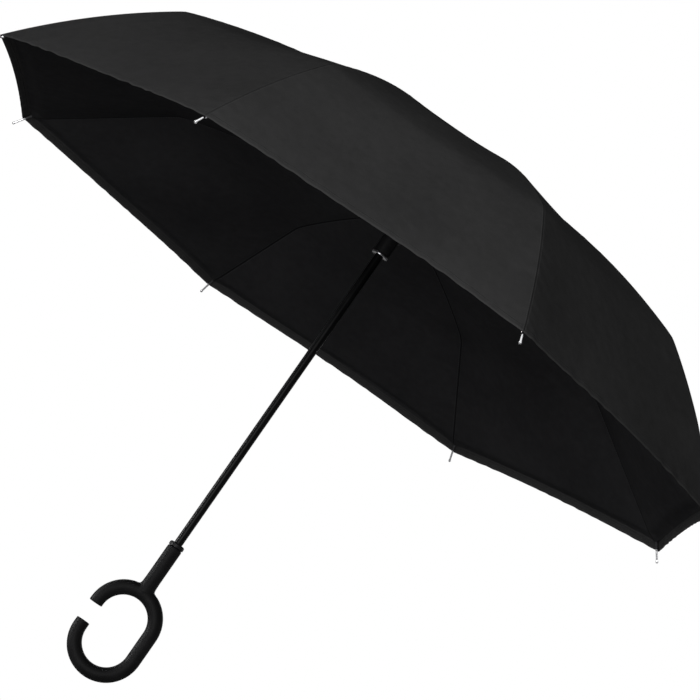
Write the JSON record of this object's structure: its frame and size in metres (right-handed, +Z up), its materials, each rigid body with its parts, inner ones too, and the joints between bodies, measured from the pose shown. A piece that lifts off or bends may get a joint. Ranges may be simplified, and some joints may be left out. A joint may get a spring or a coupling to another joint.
{
  "type": "inverted umbrella",
  "caption": "Open umbrella that folds inside out, with two cloth layers on hinged ribs, a runner on a straight shaft and a C-shaped hook handle.",
  "frame": {"origin": "centre of the hook handle's loop, on the shaft's axis", "axes": "+Z up the shaft towards the crown, -X through the hook's mouth, +Y completes a right-handed set"},
  "size_m": [0.9772, 0.9772, 0.7754],
  "materials": {
    "outer_cloth": "plain weave, faint sheen",
    "inner_cloth": "plain weave, dull",
    "black_steel": "semi-gloss black",
    "bright_steel": "polished",
    "black_plastic": "satin",
    "soft_grip": "matt, soft touch",
    "rib_fibre": "satin, fibre-filled rod"
  },
  "bodies": {
    "shaft_and_crown": {"handle": "soft_grip", "neck_collar": "black_plastic", "shaft": "black_steel", "crown": "black_plastic", "crown_wire": "bright_steel", "top_cap": "black_plastic", "outer_canopy": "outer_cloth"},
    "runner_unit": {"runner": "black_plastic", "runner_ring": "bright_steel", "runner_wire": "bright_steel", "inner_canopy": "inner_cloth"},
    "button": {"release_button": "black_plastic"},
    "arm_unit_1": {"arm_1": "black_steel", "knuckle_1": "black_plastic"},
    "outer_rib_unit_1": {"outer_rib_1": "rib_fibre", "rib_tip_1": "bright_steel"},
    "stretcher_unit_1": {"stretcher_1": "black_steel"},
    "arm_unit_2": {"arm_2": "black_steel", "knuckle_2": "black_plastic"},
    "outer_rib_unit_2": {"outer_rib_2": "rib_fibre", "rib_tip_2": "bright_steel"},
    "stretcher_unit_2": {"stretcher_2": "black_steel"},
    "arm_unit_3": {"arm_3": "black_steel", "knuckle_3": "black_plastic"},
    "outer_rib_unit_3": {"outer_rib_3": "rib_fibre", "rib_tip_3": "bright_steel"},
    "stretcher_unit_3": {"stretcher_3": "black_steel"},
    "arm_unit_4": {"arm_4": "black_steel", "knuckle_4": "black_plastic"},
    "outer_rib_unit_4": {"outer_rib_4": "rib_fibre", "rib_tip_4": "bright_steel"},
    "stretcher_unit_4": {"stretcher_4": "black_steel"},
    "arm_unit_5": {"arm_5": "black_steel", "knuckle_5": "black_plastic"},
    "outer_rib_unit_5": {"outer_rib_5": "rib_fibre", "rib_tip_5": "bright_steel"},
    "stretcher_unit_5": {"stretcher_5": "black_steel"},
    "arm_unit_6": {"arm_6": "black_steel", "knuckle_6": "black_plastic"},
    "outer_rib_unit_6": {"outer_rib_6": "rib_fibre", "rib_tip_6": "bright_steel"},
    "stretcher_unit_6": {"stretcher_6": "black_steel"},
    "arm_unit_7": {"arm_7": "black_steel", "knuckle_7": "black_plastic"},
    "outer_rib_unit_7": {"outer_rib_7": "rib_fibre", "rib_tip_7": "bright_steel"},
    "stretcher_unit_7": {"stretcher_7": "black_steel"},
    "arm_unit_8": {"arm_8": "black_steel", "knuckle_8": "black_plastic"},
    "outer_rib_unit_8": {"outer_rib_8": "rib_fibre", "rib_tip_8": "bright_steel"},
    "stretcher_unit_8": {"stretcher_8": "black_steel"}
  },
  "joints": [
    {"name": "runner_slide", "type": "slide", "parent": "shaft_and_crown", "child": "runner_unit", "axis": [0, 0, 1], "range_m": [-0.4053, 0], "deforming": ["outer_canopy", "inner_canopy"]},
    {"name": "release_button_press", "type": "slide", "parent": "runner_unit", "child": "button", "axis": [-1, 0, 0], "range_m": [0, 0.0015], "stiffness_N_per_m": 800, "springref_m": -0.001},
    {"name": "arm_hinge_1", "type": "hinge", "parent": "runner_unit", "child": "arm_unit_1", "pos_m": [0.01155, 0.00478, 0.6032], "axis": [0.3827, -0.9239, 0], "range_deg": [0, 81.8]},
    {"name": "outer_rib_hinge_1", "type": "hinge", "parent": "arm_unit_1", "child": "outer_rib_unit_1", "pos_m": [0.33352, 0.13815, 0.617], "axis": [0.3827, -0.9239, 0], "range_deg": [0, 44.4]},
    {"name": "stretcher_hinge_1", "type": "hinge", "parent": "shaft_and_crown", "child": "stretcher_unit_1", "pos_m": [0.01155, 0.00478, 0.686], "axis": [0.3827, -0.9239, 0], "range_deg": [-67.4, 0]},
    {"name": "arm_hinge_2", "type": "hinge", "parent": "runner_unit", "child": "arm_unit_2", "pos_m": [0.00478, 0.01155, 0.6032], "axis": [0.9239, -0.3827, 0], "range_deg": [0, 81.8]},
    {"name": "outer_rib_hinge_2", "type": "hinge", "parent": "arm_unit_2", "child": "outer_rib_unit_2", "pos_m": [0.13815, 0.33352, 0.617], "axis": [0.9239, -0.3827, 0], "range_deg": [0, 44.4]},
    {"name": "stretcher_hinge_2", "type": "hinge", "parent": "shaft_and_crown", "child": "stretcher_unit_2", "pos_m": [0.00478, 0.01155, 0.686], "axis": [0.9239, -0.3827, 0], "range_deg": [-67.4, 0]},
    {"name": "arm_hinge_3", "type": "hinge", "parent": "runner_unit", "child": "arm_unit_3", "pos_m": [-0.00478, 0.01155, 0.6032], "axis": [0.9239, 0.3827, 0], "range_deg": [0, 81.8]},
    {"name": "outer_rib_hinge_3", "type": "hinge", "parent": "arm_unit_3", "child": "outer_rib_unit_3", "pos_m": [-0.13815, 0.33352, 0.617], "axis": [0.9239, 0.3827, 0], "range_deg": [0, 44.4]},
    {"name": "stretcher_hinge_3", "type": "hinge", "parent": "shaft_and_crown", "child": "stretcher_unit_3", "pos_m": [-0.00478, 0.01155, 0.686], "axis": [0.9239, 0.3827, 0], "range_deg": [-67.4, 0]},
    {"name": "arm_hinge_4", "type": "hinge", "parent": "runner_unit", "child": "arm_unit_4", "pos_m": [-0.01155, 0.00478, 0.6032], "axis": [0.3827, 0.9239, 0], "range_deg": [0, 81.8]},
    {"name": "outer_rib_hinge_4", "type": "hinge", "parent": "arm_unit_4", "child": "outer_rib_unit_4", "pos_m": [-0.33352, 0.13815, 0.617], "axis": [0.3827, 0.9239, 0], "range_deg": [0, 44.4]},
    {"name": "stretcher_hinge_4", "type": "hinge", "parent": "shaft_and_crown", "child": "stretcher_unit_4", "pos_m": [-0.01155, 0.00478, 0.686], "axis": [0.3827, 0.9239, 0], "range_deg": [-67.4, 0]},
    {"name": "arm_hinge_5", "type": "hinge", "parent": "runner_unit", "child": "arm_unit_5", "pos_m": [-0.01155, -0.00478, 0.6032], "axis": [-0.3827, 0.9239, 0], "range_deg": [0, 81.8]},
    {"name": "outer_rib_hinge_5", "type": "hinge", "parent": "arm_unit_5", "child": "outer_rib_unit_5", "pos_m": [-0.33352, -0.13815, 0.617], "axis": [-0.3827, 0.9239, 0], "range_deg": [0, 44.4]},
    {"name": "stretcher_hinge_5", "type": "hinge", "parent": "shaft_and_crown", "child": "stretcher_unit_5", "pos_m": [-0.01155, -0.00478, 0.686], "axis": [-0.3827, 0.9239, 0], "range_deg": [-67.4, 0]},
    {"name": "arm_hinge_6", "type": "hinge", "parent": "runner_unit", "child": "arm_unit_6", "pos_m": [-0.00478, -0.01155, 0.6032], "axis": [-0.9239, 0.3827, 0], "range_deg": [0, 81.8]},
    {"name": "outer_rib_hinge_6", "type": "hinge", "parent": "arm_unit_6", "child": "outer_rib_unit_6", "pos_m": [-0.13815, -0.33352, 0.617], "axis": [-0.9239, 0.3827, 0], "range_deg": [0, 44.4]},
    {"name": "stretcher_hinge_6", "type": "hinge", "parent": "shaft_and_crown", "child": "stretcher_unit_6", "pos_m": [-0.00478, -0.01155, 0.686], "axis": [-0.9239, 0.3827, 0], "range_deg": [-67.4, 0]},
    {"name": "arm_hinge_7", "type": "hinge", "parent": "runner_unit", "child": "arm_unit_7", "pos_m": [0.00478, -0.01155, 0.6032], "axis": [-0.9239, -0.3827, 0], "range_deg": [0, 81.8]},
    {"name": "outer_rib_hinge_7", "type": "hinge", "parent": "arm_unit_7", "child": "outer_rib_unit_7", "pos_m": [0.13815, -0.33352, 0.617], "axis": [-0.9239, -0.3827, 0], "range_deg": [0, 44.4]},
    {"name": "stretcher_hinge_7", "type": "hinge", "parent": "shaft_and_crown", "child": "stretcher_unit_7", "pos_m": [0.00478, -0.01155, 0.686], "axis": [-0.9239, -0.3827, 0], "range_deg": [-67.4, 0]},
    {"name": "arm_hinge_8", "type": "hinge", "parent": "runner_unit", "child": "arm_unit_8", "pos_m": [0.01155, -0.00478, 0.6032], "axis": [-0.3827, -0.9239, 0], "range_deg": [0, 81.8]},
    {"name": "outer_rib_hinge_8", "type": "hinge", "parent": "arm_unit_8", "child": "outer_rib_unit_8", "pos_m": [0.33352, -0.13815, 0.617], "axis": [-0.3827, -0.9239, 0], "range_deg": [0, 44.4]},
    {"name": "stretcher_hinge_8", "type": "hinge", "parent": "shaft_and_crown", "child": "stretcher_unit_8", "pos_m": [0.01155, -0.00478, 0.686], "axis": [-0.3827, -0.9239, 0], "range_deg": [-67.4, 0]}
  ],
  "couplings": [
    {"joint": "arm_hinge_1", "follows": "runner_slide", "rad_per_m": -3.5196},
    {"joint": "outer_rib_hinge_1", "follows": "runner_slide", "rad_per_m": -1.9062},
    {"joint": "stretcher_hinge_1", "follows": "runner_slide", "rad_per_m": 2.8965},
    {"joint": "arm_hinge_2", "follows": "runner_slide", "rad_per_m": -3.5196},
    {"joint": "outer_rib_hinge_2", "follows": "runner_slide", "rad_per_m": -1.9062},
    {"joint": "stretcher_hinge_2", "follows": "runner_slide", "rad_per_m": 2.8965},
    {"joint": "arm_hinge_3", "follows": "runner_slide", "rad_per_m": -3.5196},
    {"joint": "outer_rib_hinge_3", "follows": "runner_slide", "rad_per_m": -1.9062},
    {"joint": "stretcher_hinge_3", "follows": "runner_slide", "rad_per_m": 2.8965},
    {"joint": "arm_hinge_4", "follows": "runner_slide", "rad_per_m": -3.5196},
    {"joint": "outer_rib_hinge_4", "follows": "runner_slide", "rad_per_m": -1.9062},
    {"joint": "stretcher_hinge_4", "follows": "runner_slide", "rad_per_m": 2.8965},
    {"joint": "arm_hinge_5", "follows": "runner_slide", "rad_per_m": -3.5196},
    {"joint": "outer_rib_hinge_5", "follows": "runner_slide", "rad_per_m": -1.9062},
    {"joint": "stretcher_hinge_5", "follows": "runner_slide", "rad_per_m": 2.8965},
    {"joint": "arm_hinge_6", "follows": "runner_slide", "rad_per_m": -3.5196},
    {"joint": "outer_rib_hinge_6", "follows": "runner_slide", "rad_per_m": -1.9062},
    {"joint": "stretcher_hinge_6", "follows": "runner_slide", "rad_per_m": 2.8965},
    {"joint": "arm_hinge_7", "follows": "runner_slide", "rad_per_m": -3.5196},
    {"joint": "outer_rib_hinge_7", "follows": "runner_slide", "rad_per_m": -1.9062},
    {"joint": "stretcher_hinge_7", "follows": "runner_slide", "rad_per_m": 2.8965},
    {"joint": "arm_hinge_8", "follows": "runner_slide", "rad_per_m": -3.5196},
    {"joint": "outer_rib_hinge_8", "follows": "runner_slide", "rad_per_m": -1.9062},
    {"joint": "stretcher_hinge_8", "follows": "runner_slide", "rad_per_m": 2.8965}
  ]
}
